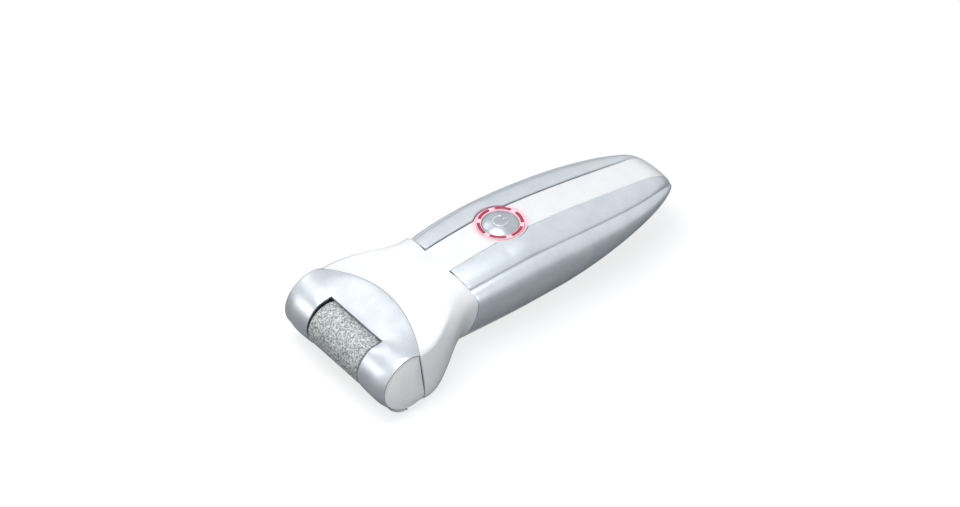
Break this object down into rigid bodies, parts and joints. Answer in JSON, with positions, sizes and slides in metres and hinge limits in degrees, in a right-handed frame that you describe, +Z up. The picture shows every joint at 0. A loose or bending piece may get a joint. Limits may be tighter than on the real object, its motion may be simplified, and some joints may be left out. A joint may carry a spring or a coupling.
{
  "type": "electric callus remover",
  "caption": "Battery handle with a flared head that turns an abrasive roller; power button in a light ring, side release for the roller, hinged battery cover.",
  "frame": {"origin": "centre of the rest plane under the whole part, as it lies on its back with the roller facing forward", "axes": "+X from the head to the tail, +Y towards the drive side of the head, +Z up through the top panel"},
  "size_m": [0.1746, 0.0692, 0.0413],
  "materials": {
    "white_shell": "moulded, high gloss",
    "silver_grip": "silver lacquer on moulded plastic, satin",
    "silver_bezel": "silver lacquer on moulded plastic, semi-gloss",
    "satin_cap": "light silver lacquer on moulded plastic, semi-gloss",
    "silver_button": "silver lacquer, gloss",
    "clear_ring": "frosted light guide",
    "red_window": "translucent red",
    "led_resin": "clear resin",
    "mineral_grit": "bonded mineral grit, coarse",
    "dark_plastic": "moulded, matt",
    "sheet_steel": "zinc plated sheet",
    "bronze": "sintered bronze",
    "acetal": "moulded acetal",
    "pin_steel": "ground",
    "pin_brass": "turned",
    "motor_steel": "zinc plated, drawn",
    "spring_steel": "drawn wire",
    "board_laminate": "solder mask",
    "cell_sleeve": "shrunk film sleeve",
    "contact_nickel": "nickel plated",
    "wire_jacket": "extruded jacket",
    "screw_steel": "zinc plated"
  },
  "bodies": {
    "housing": {"upper_housing": "white_shell", "lower_housing": "white_shell", "left_grip": "silver_grip", "right_grip": "silver_grip", "head_bezel": "silver_bezel", "drive_side_cap": "satin_cap", "drive_frame": "dark_plastic", "gear_plate": "sheet_steel", "drive_bush": "bronze", "idler_axle": "pin_steel", "motor": "motor_steel", "release_bracket": "sheet_steel", "lever_pin": "pin_steel", "light_ring": "clear_ring", "ring_windows": "red_window", "ring_leds": "led_resin", "circuit_board": "board_laminate", "power_switch": "dark_plastic", "inner_frame": "dark_plastic", "battery_cells": "cell_sleeve", "front_contacts": "contact_nickel", "rear_contacts": "contact_nickel", "wires": "wire_jacket", "housing_screws": "screw_steel"},
    "roller": {"abrasive_sleeve": "mineral_grit", "roller_core": "dark_plastic", "roller_end_cap": "dark_plastic", "drive_gear": "acetal"},
    "idler": {"idler_gear": "acetal"},
    "motor_rotor": {"motor_pinion": "pin_brass"},
    "release_key": {"release_button": "satin_cap", "release_spring": "spring_steel"},
    "rocker": {"release_lever": "acetal"},
    "idle_pin": {"idle_pin": "pin_steel", "pin_spring": "spring_steel"},
    "power_key": {"power_button": "silver_button"},
    "switch_stem": {"switch_plunger": "pin_steel"},
    "cover": {"battery_cover": "white_shell"}
  },
  "joints": [
    {"name": "roller_spin", "type": "hinge", "parent": "housing", "child": "roller", "pos_m": [-0.07655, 0, 0.0168], "axis": [0, 1, 0], "continuous": true},
    {"name": "idler_spin", "type": "hinge", "parent": "housing", "child": "idler", "pos_m": [-0.06524, 0, 0.01541], "axis": [0, 1, 0], "continuous": true},
    {"name": "motor_spin", "type": "hinge", "parent": "housing", "child": "motor_rotor", "pos_m": [-0.05105, 0, 0.01791], "axis": [0, 1, 0], "continuous": true},
    {"name": "release_press", "type": "slide", "parent": "housing", "child": "release_key", "axis": [0, 1, 0], "range_m": [0, 0.0016], "stiffness_N_per_m": 400, "springref_m": -0.0015, "deforming": ["release_spring"]},
    {"name": "rocker_turn", "type": "hinge", "parent": "housing", "child": "rocker", "pos_m": [-0.07185, -0.022, 0.0168], "axis": [0, 0, 1], "range_deg": [0, 19.6]},
    {"name": "idle_pin_slide", "type": "slide", "parent": "housing", "child": "idle_pin", "axis": [0, -1, 0], "range_m": [0, 0.0016], "stiffness_N_per_m": 250, "springref_m": -0.0015, "deforming": ["pin_spring"]},
    {"name": "power_press", "type": "slide", "parent": "housing", "child": "power_key", "axis": [0, 0, -1], "range_m": [0, 0.0008], "stiffness_N_per_m": 600, "springref_m": -0.0006},
    {"name": "switch_travel", "type": "slide", "parent": "housing", "child": "switch_stem", "axis": [0, 0, -1], "range_m": [0, 0.0008]},
    {"name": "cover_swing", "type": "hinge", "parent": "housing", "child": "cover", "pos_m": [0.0005, 0, 0], "axis": [0, 1, 0], "range_deg": [0, 35]}
  ],
  "couplings": [
    {"joint": "idler_spin", "follows": "roller_spin", "ratio": -1.7143},
    {"joint": "motor_spin", "follows": "roller_spin", "ratio": 5.1429},
    {"joint": "rocker_turn", "follows": "release_press", "rad_per_m": 212.77},
    {"joint": "idle_pin_slide", "follows": "release_press", "ratio": 1},
    {"joint": "switch_travel", "follows": "power_press", "ratio": 1}
  ]
}
